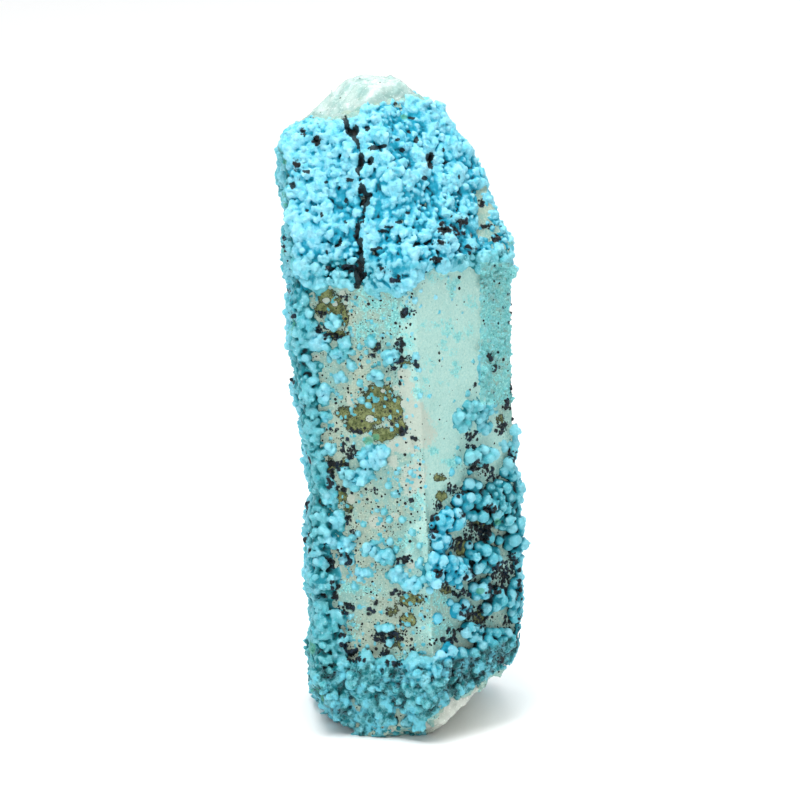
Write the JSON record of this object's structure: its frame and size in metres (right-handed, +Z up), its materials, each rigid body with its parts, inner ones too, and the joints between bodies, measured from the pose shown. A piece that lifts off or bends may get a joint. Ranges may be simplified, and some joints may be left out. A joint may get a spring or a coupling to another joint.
{
  "type": "chrysocolla on quartz crystal specimen",
  "caption": "Upright quartz point with a broken tip, thickly crusted with lumpy blue-green chrysocolla, standing on its flat foot.",
  "frame": {"origin": "on the resting plane, under the middle of the specimen's box", "axes": "+Z up along the standing crystal, -Y towards the two broad front faces, +X to their right"},
  "size_m": [0.0306, 0.0322, 0.0801],
  "materials": {
    "chrysocolla": "satin, fine-grained, lumpy blue-green crust"
  },
  "bodies": {
    "root": {"chrysocolla_crystal": "chrysocolla"}
  },
  "joints": []
}
